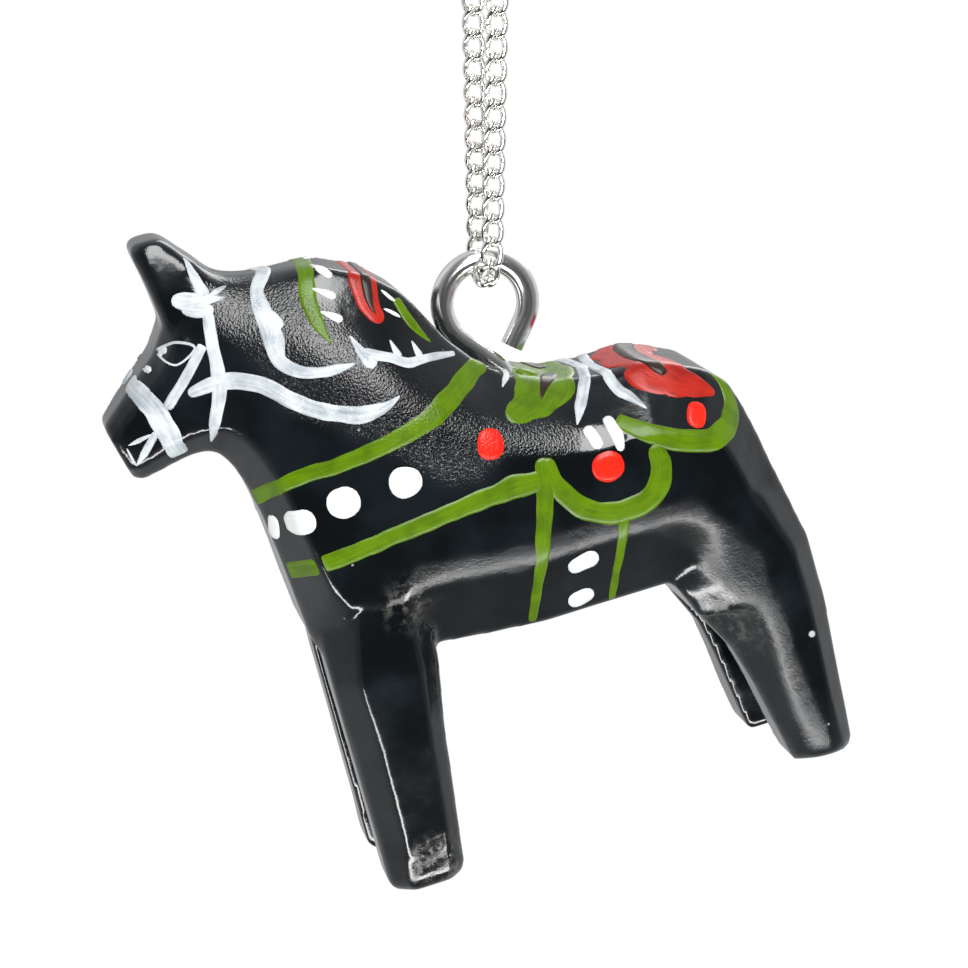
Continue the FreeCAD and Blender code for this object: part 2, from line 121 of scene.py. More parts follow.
# %% Shader helper
class Wire:
    """One output in a material's node tree, so that shader maths reads as plain arithmetic."""

    def __init__(self, recipe, socket):
        self.recipe, self.socket = recipe, socket

    def maths(self, operation, first, second):
        return self.recipe.node(
            "ShaderNodeMath", {"operation": operation}, {0: first, 1: second}
        )["Value"]

    def __add__(self, other):
        return self.maths("ADD", self, other)

    def __radd__(self, other):
        return self.maths("ADD", other, self)

    def __sub__(self, other):
        return self.maths("SUBTRACT", self, other)

    def __rsub__(self, other):
        return self.maths("SUBTRACT", other, self)

    def __mul__(self, other):
        return self.maths("MULTIPLY", self, other)

    def __rmul__(self, other):
        return self.maths("MULTIPLY", other, self)


class Recipe:
    """Builds a node tree. node() is the only place where nodes are made."""

    def __init__(self, tree):
        self.tree = tree
        tree.nodes.clear()

    def node(self, kind, settings=None, inputs=None):
        made = self.tree.nodes.new(kind)
        for name, value in (settings or {}).items():
            setattr(made, name, value)
        for name, value in (inputs or {}).items():
            if isinstance(value, Wire):
                self.tree.links.new(value.socket, made.inputs[name])
            else:
                made.inputs[name].default_value = value
        return {socket.name: Wire(self, socket) for socket in made.outputs if socket.enabled}

    def noise(self, place, scale, detail=2.0, roughness=0.5):
        inputs = {"Vector": place, "Scale": scale, "Detail": detail, "Roughness": roughness}
        return self.node("ShaderNodeTexNoise", None, inputs)["Fac"]

    def between(self, value, low, high):
        """0 below low, 1 above high, smooth in between."""
        inputs = {"Value": value, "From Min": low, "From Max": high}
        settings = {"interpolation_type": "SMOOTHSTEP"}
        return self.node("ShaderNodeMapRange", settings, inputs)["Result"]

    def mix(self, amount, one, other):
        """Colour one where amount is 0, the other where it is 1."""
        one, other = (c if isinstance(c, Wire) else (*c, 1.0) for c in (one, other))
        inputs = {0: amount, 6: one, 7: other}
        return self.node("ShaderNodeMix", {"data_type": "RGBA"}, inputs)["Result"]

    def vector(self, operation, first, second):
        inputs = {0: first, 1: second}
        return self.node("ShaderNodeVectorMath", {"operation": operation}, inputs)

    def near(self, place, centre, radius, fade):
        """1 inside a ball of that radius round centre, fading to 0 over fade."""
        away = self.vector("DISTANCE", place, centre)["Value"]
        return self.between(away, radius + fade, radius)

    def near_line(self, place, start, end, radius, fade):
        """1 within that radius of the straight line from start to end, fading to 0 over fade."""
        run = Vector(end) - Vector(start)
        from_start = self.vector("SUBTRACT", place, start)["Vector"]
        along = self.vector("DOT_PRODUCT", from_start, run / run.length_squared)["Value"]
        along = self.node("ShaderNodeClamp", None, {"Value": along})["Result"]
        foot = self.node(
            "ShaderNodeVectorMath", {"operation": "SCALE"}, {"Vector": run, "Scale": along}
        )["Vector"]
        away = self.vector("DISTANCE", from_start, foot)["Value"]
        return self.between(away, radius + fade, radius)

    def bump(self, height, depth, normal=None):
        """depth is in millimetres."""
        inputs = {"Height": height, "Distance": depth * MM, "Strength": 1.0}
        if normal is not None:
            inputs["Normal"] = normal
        return self.node("ShaderNodeBump", None, inputs)["Normal"]


def new_finish(name):
    """A material with its recipe and its place on the horse in the carver's millimetres."""
    material = bpy.data.materials.new(name)
    material.use_nodes = True
    recipe = Recipe(material.node_tree)
    own_place = recipe.node("ShaderNodeTexCoord")["Object"]
    turn = Euler((0, HANG_TILT, 0))
    shift = turn.to_matrix() @ (-eye_centre / MM)
    carved_place = recipe.node(
        "ShaderNodeMapping",
        {"vector_type": "POINT"},
        {"Vector": own_place, "Location": shift, "Rotation": turn, "Scale": (1 / MM,) * 3},
    )["Vector"]
    return material, recipe, carved_place


def finish_surface(recipe, **inputs):
    """The shader and the output. Base_Color stands for the socket called Base Color."""
    named = {name.replace("_", " "): value for name, value in inputs.items()}
    shader = recipe.node("ShaderNodeBsdfPrincipled", None, named)["BSDF"]
    recipe.node("ShaderNodeOutputMaterial", None, {"Surface": shader})


print("shader helper ready")

# %% The room
PLAIN_WHITE = (1.0, 1.0, 1.0, 1.0)
COOL_WHITE = (0.96, 0.98, 1.0, 1.0)
room = bpy.data.worlds.new("studio")
bpy.context.scene.world = room
bpy.context.scene.view_settings.view_transform = "Standard"
room.use_nodes = True
sky = Recipe(room.node_tree)
direction = sky.node("ShaderNodeTexCoord")["Generated"]
parts = sky.node("ShaderNodeSeparateXYZ", None, {"Vector": direction})
behind = sky.between(parts["Y"], -0.45, 0.35)
beside = sky.between(parts["X"] * parts["X"], 0.14, 0.60)
below = sky.between(parts["Z"], -0.25, -0.75)
above = sky.between(parts["Z"], 0.30, 0.80)
light_amount = 0.05 + behind * 0.50 + beside * 0.20 + below * 0.20 + above * 0.12
glow = sky.node(
    "ShaderNodeBackground", None, {"Color": COOL_WHITE, "Strength": light_amount}
)["Background"]
white_wall = sky.node(
    "ShaderNodeBackground", None, {"Color": PLAIN_WHITE, "Strength": 1.0}
)["Background"]
seen_directly = sky.node("ShaderNodeLightPath")["Is Camera Ray"]
room_light = sky.node(
    "ShaderNodeMixShader", None, {0: seen_directly, 1: glow, 2: white_wall}
)["Shader"]
sky.node("ShaderNodeOutputWorld", None, {"Surface": room_light})
print("room nodes", len(room.node_tree.nodes))

# %% The floor
FLOOR_DROP = 0.070
FLOOR_RADIUS = 6.0
floor_height = cad_box[0][2] - FLOOR_DROP

paper = bpy.data.materials.new("pale_paper")
paper.use_nodes = True
paper_recipe = Recipe(paper.node_tree)
lit = paper_recipe.node(
    "ShaderNodeEmission", None, {"Color": PLAIN_WHITE, "Strength": 1.0}
)["Emission"]
paper_recipe.node("ShaderNodeOutputMaterial", None, {"Surface": lit})

floor_shape = bmesh.new()
bmesh.ops.create_circle(
    floor_shape, cap_ends=True, segments=64, radius=FLOOR_RADIUS,
    matrix=Matrix.Translation((0, 0, floor_height)),
)
floor_mesh = bpy.data.meshes.new("floor")
floor_shape.to_mesh(floor_mesh)
floor_shape.free()
floor_mesh.materials.append(paper)
floor = bpy.data.objects.new("floor", floor_mesh)
bpy.context.scene.collection.objects.link(floor)
floor.visible_glossy = False
floor.visible_diffuse = False
floor.visible_shadow = False
print("floor at", round(floor_height, 4))

# %% Lights
HORSE_BELOW_EYE = 0.012
lit_point = eye_centre - Vector((0, 0, HORSE_BELOW_EYE))


def soft_light(name, towards, distance, width, height, radiance):
    data = bpy.data.lights.new(name, "AREA")
    data.shape = "RECTANGLE"
    data.size, data.size_y = width, height
    data.energy = radiance * math.pi * width * height
    lamp = bpy.data.objects.new(name, data)
    away = Vector(towards).normalized()
    facing_horse = away.to_track_quat("Z", "X").to_matrix().to_4x4()
    lamp.matrix_world = Matrix.Translation(lit_point + away * distance) @ facing_horse
    lamp.visible_camera = False
    bpy.context.scene.collection.objects.link(lamp)


soft_light("high_softbox", (0.04, -0.76, 0.66), 0.32, 0.34, 0.13, 10.0)
soft_light("low_strip", (-0.10, -0.76, -0.55), 0.14, 0.020, 0.20, 16.0)
soft_light("rear_softbox", (0.5, 0.8, 0.6), 0.40, 0.25, 0.25, 3.0)

# %% [markdown]
# A knife leaves flat facets that meet in sharp edges, but coats of lacquer round the edges off
# and fill the inner corners. A bevel on every edge would break where facets meet at odd angles.
# Rebuilding the whole skin as small even squares and then smoothing it a few times gives the
# same soft edge everywhere, as dipping does. A slow, shallow waviness stands for the knife and
# for lacquer that sags a little as it dries.

# %% The dipped wooden body
MERGE_WITHIN = 0.002
SKIN_SQUARE = 0.16
SOFTEN_ROUNDS = 3
NECK_REACH, NECK_ROUNDS = 3.0, 100
EDGE_REACH, EDGE_ROUNDS = 1.3, 32
WAVE_LENGTH, WAVE_DEPTH = 2.6, 0.022


def mesh_copy_in_mm(node):
    copy = bmesh.new()
    copy.from_mesh(frame["nodes"][node].data)
    bmesh.ops.transform(copy, matrix=row_to_carved, verts=copy.verts)
    bmesh.ops.remove_doubles(copy, verts=copy.verts, dist=MERGE_WITHIN)
    return copy


def even_skin(shape, square):
    """The same solid with its surface rebuilt as even squares."""
    rough = bpy.data.meshes.new("rough")
    shape.to_mesh(rough)
    shape.free()
    block = bpy.data.objects.new("rough", rough)
    bpy.context.scene.collection.objects.link(block)
    remesh = block.modifiers.new("skin", "REMESH")
    remesh.mode = "VOXEL"
    remesh.voxel_size = square
    graph = bpy.context.evaluated_depsgraph_get()
    made = bpy.data.meshes.new_from_object(block.evaluated_get(graph))
    skin = bmesh.new()
    skin.from_mesh(made)
    bpy.data.objects.remove(block)
    bpy.data.meshes.remove(made)
    return skin


def soften(shape, rounds, verts=None):
    for _ in range(rounds):
        bmesh.ops.smooth_vert(
            shape, verts=verts or shape.verts, factor=0.5,
            use_axis_x=True, use_axis_y=True, use_axis_z=True,
        )


def away_from_line(point, start, end):
    """Distance to a line on the left flank or to its twin on the right flank."""
    start, end = Vector(start), Vector(end)
    point = Vector((point.x, -abs(point.y), point.z))
    run = end - start
    along = max(0.0, min(1.0, (point - start).dot(run) / run.length_squared))
    return (point - start - run * along).length


def round_off(shape, lines, reach, rounds):
    """Extra softening near some lines, in growing rings so that it fades out."""
    for share in (0.55, 0.7, 0.85, 1.0):
        ring = [
            v for v in shape.verts
            if min(away_from_line(v.co, *line) for line in lines) < reach * share
        ]
        soften(shape, rounds // 4, ring)


def ripple(shape, length, depth):
    shape.normal_update()
    moves = [(v, v.normal * noise.noise(v.co / length) * depth) for v in shape.verts]
    for vert, move in moves:
        vert.co += move


def finished_piece(name, shape, material):
    """Writes the mesh in the frame's metres, smooth shaded, riding on the horse."""
    bmesh.ops.transform(shape, matrix=carved_to_row, verts=shape.verts)
    mesh = bpy.data.meshes.new(name)
    shape.to_mesh(mesh)
    shape.free()
    mesh.materials.append(material)
    for face in mesh.polygons:
        face.use_smooth = True
    piece = bpy.data.objects.new(name, mesh)
    bpy.context.scene.collection.objects.link(piece)
    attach(piece, "horse")
    print(name, "faces", len(mesh.polygons))
    return piece


NECK_LINE = ((-9.8, -2.6, 3.0), (-3.2, -4.4, -4.2))
SHOULDER_LINE = ((-3.2, -4.4, -4.2), (0.9, -4.3, -5.1))
BELLY_LINES = [
    ((-6.0, -4.4, -9.4), (-2.0, -4.4, -9.95)), ((-2.0, -4.4, -9.95), (3.4, -4.4, -9.65)),
]
HIND_LINES = [
    ((3.4, -4.4, -9.65), (5.4, -4.4, -10.5)), ((5.4, -4.4, -10.5), (7.2, -4.4, -13.1)),
    ((7.2, -4.4, -13.1), (7.9, -4.4, -16.5)), ((7.9, -4.4, -16.5), (8.75, -4.4, -22.4)),
]

skin = even_skin(mesh_copy_in_mm("horse_body"), SKIN_SQUARE)
soften(skin, SOFTEN_ROUNDS)
round_off(skin, [NECK_LINE, SHOULDER_LINE], NECK_REACH, NECK_ROUNDS)
round_off(skin, BELLY_LINES + HIND_LINES, EDGE_REACH, EDGE_ROUNDS)
ripple(skin, WAVE_LENGTH, WAVE_DEPTH)
skin_tree = BVHTree.FromBMesh(skin)
print("skin points", len(skin.verts))

# %% [markdown]
# The lacquer is a bluish black, so deep that its colour hardly shows: what the eye reads is its
# gloss. A coarse orange peel on the neck and shoulder breaks the glare of the lights into
# grains, and a slight roughness along the belly's edge and down the hind leg spreads it into a
# dull band. Both are bump and roughness only, so the glare comes and goes with the light. The
# colour holds dust, one pale nick, and grey patches on the hoof, at the top of the front leg and
# on the hind leg that are partly scuffs and partly a painted sheen of the lights: noise in the
# horse's own millimetres, masked by distance.

# %% Places on the lacquer
def flank_place(recipe, place):
    """The place, with the right flank folded onto the left, so that marks fall on both."""
    sides = recipe.node("ShaderNodeSeparateXYZ", None, {"Vector": place})
    width = recipe.node("ShaderNodeMath", {"operation": "ABSOLUTE"}, {0: sides["Y"]})["Value"]
    folded = {"X": sides["X"], "Y": 0.0 - width, "Z": sides["Z"]}
    return recipe.node("ShaderNodeCombineXYZ", None, folded)["Vector"]


def orange_peel(recipe, flank):
    """Where the lacquer dried grainy: along the neck and over the shoulder."""
    on_neck = recipe.near_line(flank, (-9.7, -2.0, 3.3), (-8.0, -3.4, -0.1), 1.3, 1.2)
    on_breast = recipe.near_line(flank, (-8.0, -3.4, -0.1), (-3.2, -4.4, -4.4), 1.1, 1.3)
    on_shoulder = recipe.near_line(flank, *SHOULDER_LINE, 0.45, 0.9)
    everywhere = on_neck + on_breast + on_shoulder
    return recipe.node("ShaderNodeClamp", None, {"Value": everywhere})["Result"]


def fine_grain(recipe, place):
    """The grains of the orange peel, about a tenth of a millimetre across."""
    return recipe.noise(place, 10.5, 1.5, 0.5)


print("grainy line on the shoulder", SHOULDER_LINE)

# %% Deep black
lacquer, mixture, place = new_finish("black_lacquer_finish")
left_flank = flank_place(mixture, place)
cloudy = mixture.between(mixture.noise(place, 0.35, 3.0), 0.35, 0.70)
black = mixture.mix(cloudy, (0.0022, 0.0034, 0.0044), (0.0050, 0.0080, 0.0105))
print("lacquer nodes so far", len(lacquer.node_tree.nodes))


# %% Scuffs and painted sheen, dust and a nick
def at_most_one(amount):
    return mixture.node("ShaderNodeClamp", None, {"Value": amount})["Result"]


# Grey patches on the hind leg, the hoof and the top of the front leg: partly scuffs, partly a painted
# sheen of the lights.
scuff_and_sheen_grain = mixture.between(mixture.noise(place, 2.2, 6.0, 0.65), 0.44, 0.66)
on_hind_leg = mixture.near(place, (6.4, -4.0, -15.6), 0.7, 1.9)
on_hoof = mixture.near(place, (-8.4, -4.4, -22.0), 0.5, 1.5)
on_leg_top = mixture.near(place, (-6.9, -4.4, -10.4), 0.3, 1.3)
worn_and_painted_sheen = at_most_one((on_hind_leg * 0.7 + on_hoof + on_leg_top) * scuff_and_sheen_grain)
black = mixture.mix(worn_and_painted_sheen * 0.65, black, (0.110, 0.108, 0.100))

speck_cells = mixture.node(
    "ShaderNodeTexVoronoi", {"feature": "F1"}, {"Vector": place, "Scale": 1.15}
)
speck_pick = mixture.node("ShaderNodeSeparateColor", None, {"Color": speck_cells["Color"]})["Red"]
specks = mixture.between(speck_cells["Distance"], 0.075, 0.045) * mixture.between(
    speck_pick, 0.80, 0.82
)
dust = mixture.between(mixture.noise(place, 5.5, 8.0, 0.8), 0.69, 0.78)
nick = mixture.near(place, (9.56, -4.5, -16.92), 0.10, 0.08)
pale_marks = at_most_one(specks * 0.55 + dust * 0.35 + nick)
black = mixture.mix(pale_marks, black, (0.42, 0.44, 0.46))
print("lacquer nodes with its marks", len(lacquer.node_tree.nodes))

# %% Gloss and grain
PEEL_DEPTH, FLOW_DEPTH = 0.034, 0.020
ragged = mixture.noise(place, 1.6, 6.0, 0.7)
peel = fine_grain(mixture, place)
rough_edges = 0.0
for line, radius, fade in (
    (BELLY_LINES[0], 0.35, 0.5), (BELLY_LINES[1], 0.35, 0.5), (HIND_LINES[0], 0.4, 0.6),
    (HIND_LINES[1], 0.7, 0.8), (HIND_LINES[2], 0.5, 0.6), (HIND_LINES[3], 0.4, 0.5),
):
    rough_edges = rough_edges + mixture.near_line(left_flank, *line, radius, fade)
rough_edges = at_most_one(rough_edges)

on_neck = orange_peel(mixture, left_flank)
slow_flow = mixture.noise(place, 0.9, 2.0)
grainy = 0.06 + on_neck * 0.94 + rough_edges * 0.22
peel_normal = mixture.bump(peel * grainy + ragged * rough_edges * 0.5, PEEL_DEPTH)
lacquer_normal = mixture.bump(slow_flow, FLOW_DEPTH, peel_normal)
dullness = 0.10 + cloudy * 0.06 + on_neck * 0.10 + worn_and_painted_sheen * 0.30 + rough_edges * 0.16
dullness = dullness + pale_marks * 0.3
finish_surface(mixture, Base_Color=black, Roughness=dullness, Normal=lacquer_normal, IOR=1.6)

body = finished_piece("lacquered_horse", skin, lacquer)
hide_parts("horse_body")

# %% [markdown]
# Each brush stroke is a real skin of paint. It starts as a flat grid. The grid's long side
# follows a smooth line through a few given points on the horse, and its short side creeps
# outwards over the bends of the lacquer, a small step at a time. Every corner is then lifted by
# the paint's thickness, and the rim is tucked under the lacquer, so that no edge floats. A grid
# is better than a picture on the surface here: the paint has an edge that catches the light,
# and stays crisp at any distance. Both flanks get the same painting, stroke for stroke.

# %% Brush strokes
STROKE_STEP = 0.16
PAINT_RIM = -0.03
BEYOND_FLANK = 14
TOP_ACROSS = -2.0


def on_skin(point, side):
    """A given point brought to the surface. (along, up) is seen from the side; a third
    number, across, is for places on the flat top that the side view can't name."""
    if len(point) == 2:
        start = Vector((point[0], side * BEYOND_FLANK, point[1]))
        place = skin_tree.ray_cast(start, Vector((0, -side, 0)))[0]
        if place is not None:
            return place
        point = (point[0], point[1], TOP_ACROSS)
    return skin_tree.find_nearest(Vector((point[0], -side * point[2], point[1])))[0]


def smooth_line(knots, step):
    """Points of a curve through the knots (a place and a half width each), a step apart."""
    line = []
    padded = [knots[0]] + knots + [knots[-1]]
    for before, start, end, after in zip(padded, padded[1:], padded[2:], padded[3:]):
        pieces = max(2, round((end[0] - start[0]).length / step))
        for number in range(pieces):
            t = number / pieces
            blend = (
                -0.5 * t + t**2 - 0.5 * t**3, 1 - 2.5 * t**2 + 1.5 * t**3,
                0.5 * t + 2 * t**2 - 1.5 * t**3, -0.5 * t**2 + 0.5 * t**3,
            )
            four = (before, start, end, after)
            spot = sum((knot[0] * part for knot, part in zip(four, blend)), Vector())
            line.append((spot, start[1] + (end[1] - start[1]) * t * t * (3 - 2 * t)))
    line.append(knots[-1])
    return line


print("stroke step", STROKE_STEP, "mm")


# %% One stroke
ACROSS_STEPS = 10
TREMBLE, TREMBLE_RATE = 0.16, 1.3
UV_SHIFT = 3.7


def end_fullness(done, left, width, ends):
    """How full the stroke is near its ends: round like a loaded brush, or drawn to a point."""
    full = 1.0
    for distance, kind in ((done, ends[0]), (left, ends[1])):
        if kind == "round" and distance < width:
            full *= math.sqrt(max(0.0, 1 - (1 - distance / width) ** 2))
        if kind == "point" and distance < width * 4:
            full *= (distance / (width * 4)) ** 0.7
        if kind == "blunt" and distance < width * 0.5:
            full *= math.sqrt(max(0.0, 1 - (1 - distance / width / 0.5) ** 2)) * 0.35 + 0.65
    return full


def spread(spot, ahead, reaches):
    """Places beside spot at those growing distances, creeping over the bends of the surface."""
    places, gone = [], 0.0
    place, normal, _, _ = skin_tree.find_nearest(spot)
    for reach in reaches:
        sideways = normal.cross(ahead).normalized()
        place, normal, _, _ = skin_tree.find_nearest(place + sideways * (reach - gone))
        gone = reach
        places.append((place, normal))
    return places


def brush(paint, uv, knots, side, thickness, ends, seed):
    """Adds one stroke to the bmesh called paint."""
    placed = [(on_skin(point[:-1], side), point[-1]) for point in knots]
    line = smooth_line(placed, STROKE_STEP)
    rows = len(line)
    widest = max(half for _, half in line)
    middle = max(ACROSS_STEPS, round(widest / STROKE_STEP) * 3) // 2
    grid = bmesh.ops.create_grid(paint, x_segments=rows - 1, y_segments=middle * 2, size=1)
    lengths = [0.0]
    for (one, _), (two, _) in zip(line, line[1:]):
        lengths.append(lengths[-1] + (two - one).length)
    laid = []
    for row, (spot, half) in enumerate(line):
        ahead = line[min(row + 1, rows - 1)][0] - line[max(row - 1, 0)][0]
        full = end_fullness(lengths[row], lengths[-1] - lengths[row], half, ends)
        reaches = [
            (column / middle - 1) * half * full
            * (1 + TREMBLE * noise.noise(
                Vector((lengths[row] * TREMBLE_RATE, column / middle, seed))
            ))
            for column in range(middle * 2 + 1)
        ]
        left = spread(spot, ahead, reaches[middle::-1])
        right = spread(spot, ahead, reaches[middle:])
        laid.append((left[:0:-1] + right, half, full))
    for vert in grid["verts"]:
        row = round((vert.co.x + 1) / 2 * (rows - 1))
        across = vert.co.y
        places, half, full = laid[row]
        target, lift = places[round((across + 1) * middle)]
        at_rim = abs(across) > 0.99 or row in (0, rows - 1)
        near_rim = abs(across) > 1 - min(0.25, 0.12 / half)
        ridge = thickness * (1 - 0.25 * across**2) * (0.5 + 0.5 * full)
        height = PAINT_RIM if at_rim else ridge * (0.7 if near_rim else 1.0)
        vert.co = target + lift * height
        for loop in vert.link_loops:
            loop[uv].uv = (lengths[row] + seed * UV_SHIFT, across * half)


def painted(name, strokes, material, thickness):
    """All strokes of one colour, on both flanks, as one piece. A stroke is the kinds of its two
    ends, then its knots: a place on the horse and a half width each."""
    paint = bmesh.new()
    uv = paint.loops.layers.uv.new("brush")
    for number, (ends, *knots) in enumerate(strokes):
        for side in (-1, 1):
            brush(paint, uv, knots, side, thickness, ends, number + (side > 0) * 0.5)
    bmesh.ops.recalc_face_normals(paint, faces=paint.faces)
    finished_piece(name, paint, material)


def dab(along, up, half_length, half_width, lean=0.0):
    """A single press of the brush, its length leaning that many degrees from level."""
    turn = math.radians(lean)
    step = (math.cos(turn) * half_length, math.sin(turn) * half_length)
    return [
        ("round", "round"),
        (along - step[0], up - step[1], half_width),
        (along, up, half_width),
        (along + step[0], up + step[1], half_width),
    ]


print("a dab has", len(dab(0, 0, 1, 1)) - 1, "knots")

# %% [markdown]
# Enamel laid with a small brush shows the hairs: streaks run along the stroke, and thin places
# let the black through. The streaks follow each stroke's own UV map, which is laid out in
# millimetres along and across the brush. Where a stroke crosses the grainy neck, it takes on
# the lacquer's orange peel, so the glare runs over both.


# %% Paint finishes
ENAMEL_ROUGHNESS = 0.20
HAIR_DEPTH, ENAMEL_PEEL_DEPTH = 0.004, 0.024


def enamel(name, bright, dull, thin, coverage):
    """coverage is how much of the stroke hides the black: 1 hides it all."""
    material, recipe, place = new_finish(name)
    uv = recipe.node("ShaderNodeUVMap", {"uv_map": "brush"})["UV"]
    hairs_place = recipe.node(
        "ShaderNodeMapping", {"vector_type": "POINT"}, {"Vector": uv, "Scale": (0.45, 7.0, 1.0)}
    )["Vector"]
    hairs = recipe.noise(hairs_place, 1.0, 3.0, 0.5)
    blotch = recipe.noise(place, 1.1, 3.0)
    colour = recipe.mix(recipe.between(blotch * 0.65 + hairs * 0.35, 0.36, 0.60), dull, bright)
    bare = recipe.between(hairs * 0.6 + blotch * 0.4, 0.46, 0.28 - coverage * 0.10)
    colour = recipe.mix(bare * (1.0 - coverage * 0.75), colour, thin)
    grain = fine_grain(recipe, place)
    grainy = 0.06 + orange_peel(recipe, flank_place(recipe, place)) * 0.94
    normal = recipe.bump(hairs, HAIR_DEPTH, recipe.bump(grain * grainy, ENAMEL_PEEL_DEPTH))
    finish_surface(
        recipe, Base_Color=colour, Roughness=ENAMEL_ROUGHNESS + hairs * 0.12, Normal=normal,
        Specular_IOR_Level=0.32,
    )
    print(name, "nodes", len(material.node_tree.nodes))
    return material


leaf_green = enamel(
    "leaf_green_enamel", (0.098, 0.192, 0.0007), (0.068, 0.138, 0.0007), (0.030, 0.062, 0.0015),
    coverage=0.92,
)
berry_red = enamel(
    "berry_red_enamel", (0.440, 0.018, 0.008), (0.300, 0.013, 0.008), (0.120, 0.009, 0.006),
    coverage=0.85,
)
hot_red = enamel(
    "hot_red_enamel", (0.800, 0.018, 0.006), (0.680, 0.014, 0.006), (0.300, 0.008, 0.005),
    coverage=0.95,
)
dot_white = enamel(
    "dot_white_enamel", (0.780, 0.790, 0.780), (0.680, 0.700, 0.700), (0.350, 0.370, 0.380),
    coverage=0.97,
)
thin_white = enamel(
    "thin_white_enamel", (0.600, 0.640, 0.660), (0.370, 0.410, 0.440), (0.100, 0.120, 0.135),
    coverage=0.55,
)
dark_brown = enamel(
    "dark_brown_enamel", (0.030, 0.016, 0.010), (0.018, 0.011, 0.008), (0.006, 0.006, 0.006),
    coverage=0.80,
)

# %% Green strokes
GREEN = [
    [("blunt", "round"), (-11.75, -4.75, 0.36), (-10.1, -4.05, 0.36), (-8.3, -3.9, 0.37),
     (-6.5, -3.65, 0.40), (-4.7, -3.25, 0.46), (-3.5, -2.8, 0.52), (-2.3, -2.3, 0.50),
     (-1.3, -2.0, 0.46), (-0.75, -2.0, 0.42)],
    [("blunt", "blunt"), (-11.2, -8.05, 0.40), (-8.3, -7.55, 0.40), (-5.2, -7.2, 0.42),
     (-2.9, -6.95, 0.46), (-1.4, -6.85, 0.56), (-0.2, -6.9, 0.50)],
    [("blunt", "point"), (3.5, -5.45, 0.34), (4.4, -6.1, 0.46), (5.2, -6.6, 0.52),
     (6.3, -7.1, 0.54), (7.3, -7.3, 0.56), (8.25, -7.1, 0.56), (8.7, -6.4, 0.54),
     (8.6, -5.6, 0.46), (8.2, -5.05, 0.30)],
    [("round", "round"), (0.1, -6.0, 0.34), (0.2, -6.9, 0.42), (0.6, -7.85, 0.48),
     (1.35, -8.7, 0.52), (2.4, -9.15, 0.54), (3.65, -9.1, 0.55), (4.45, -8.6, 0.55),
     (4.8, -7.7, 0.50), (4.65, -6.75, 0.36)],
    [("round", "round"), (0.0, -5.95, 0.42), (-0.2, -7.35, 0.44), (-0.8, -9.4, 0.36),
     (-1.35, -11.3, 0.26), (-1.85, -13.2, 0.20)],
    [("round", "round"), (2.75, -9.5, 0.26), (2.1, -11.8, 0.20), (1.7, -13.3, 0.17)],
    [("blunt", "point"), (-6.95, 3.75, 0.9, 0.40), (-7.15, 3.6, -1.3, 0.40), (-7.45, 2.6, 0.38),
     (-7.35, 1.6, 0.34), (-7.1, 0.85, 0.22)],
    [("round", "point"), (-3.95, 1.7, -2.0, 0.24), (-3.6, 0.6, 0.26), (-3.0, -0.45, 0.22)],
]
SADDLE_PATCH = [
    [("blunt", "round"), (1.75, -3.6, 1.2, 1.45), (1.45, -3.6, -0.6, 1.45), (1.15, -3.6, -2.2, 1.32),
     (0.5, -3.9, -2.9, 1.00), (-0.2, -4.05, -3.4, 0.62), (-0.95, -4.15, -3.8, 0.30)],
]
painted("green_painting", GREEN + SADDLE_PATCH, leaf_green, thickness=0.045)


def paint_drop(name, along, up, across, radius, material):
    """A drip that dried as a bead, half sunk in the paint on the left of the screw eye."""
    bead = bmesh.new()
    uv = bead.loops.layers.uv.new("brush")
    ball = bmesh.ops.create_uvsphere(bead, u_segments=24, v_segments=14, radius=radius)
    place, lift, _, _ = skin_tree.find_nearest(Vector((along, across, up)))
    stand = Matrix.Translation(place) @ lift.to_track_quat("Z", "Y").to_matrix().to_4x4()
    bmesh.ops.scale(bead, vec=(1.0, 1.25, 0.55), verts=ball["verts"])
    for face in bead.faces:
        for loop in face.loops:
            loop[uv].uv = (loop.vert.co.x, loop.vert.co.y)
    bmesh.ops.transform(bead, matrix=stand, verts=bead.verts)
    finished_piece(name, bead, material)


paint_drop("green_drop", 0.75, -3.3, -1.0, 0.42, leaf_green)

# %% Red strokes
RED = [
    [("round", "round"), (4.5, -3.85, 1.7, 0.55), (5.1, -3.9, 0.4, 1.00), (5.6, -4.0, -0.9, 1.30),
     (5.95, -4.35, -2.0, 1.35), (6.5, -4.8, -2.75, 0.95), (7.2, -5.2, -3.0, 0.62),
     (8.1, -5.85, -3.07, 0.15)],
    [("round", "round"), (4.75, -4.0, -2.2, 0.40), (5.2, -4.4, -2.8, 0.55),
     (5.8, -4.75, -3.05, 0.50), (6.6, -5.05, -3.15, 0.40), (7.4, -5.4, -3.1, 0.22)],
    [("round", "round"), (-4.85, 2.95, 0.8, 0.72), (-5.1, 2.6, -1.6, 0.66), (-5.1, 2.0, -2.4, 0.54),
     (-4.95, 1.35, -2.65, 0.40), (-4.85, 0.95, -2.75, 0.22)],
]
painted("red_painting", RED, berry_red, thickness=0.048)
RED_DOTS = [
    dab(-1.95, -4.82, 0.68, 0.60, 70), dab(6.9, -6.25, 0.52, 0.46, 60), dab(2.6, -7.15, 0.72, 0.70),
]
painted("red_dots", RED_DOTS, hot_red, thickness=0.075)

# %% Dark strokes over the colours
DARK = [
    [("round", "point"), (1.95, -3.62, -0.6, 0.40), (1.5, -3.6, -1.6, 0.42), (1.1, -3.7, -2.4, 0.28),
     (0.75, -4.05, -2.9, 0.10)],
    [("round", "round"), (5.45, -3.87, 0.9, 0.38), (5.6, -3.95, -0.8, 0.58), (5.8, -4.05, -1.9, 0.50),
     (6.25, -4.6, -2.7, 0.20)],
    [("round", "point"), (-4.85, 2.85, 0.7, 0.26), (-5.05, 2.5, -1.5, 0.28), (-5.05, 1.9, -2.4, 0.22),
     (-4.95, 1.3, -2.65, 0.10)],
]
painted("dark_painting", DARK, dark_brown, thickness=0.105)

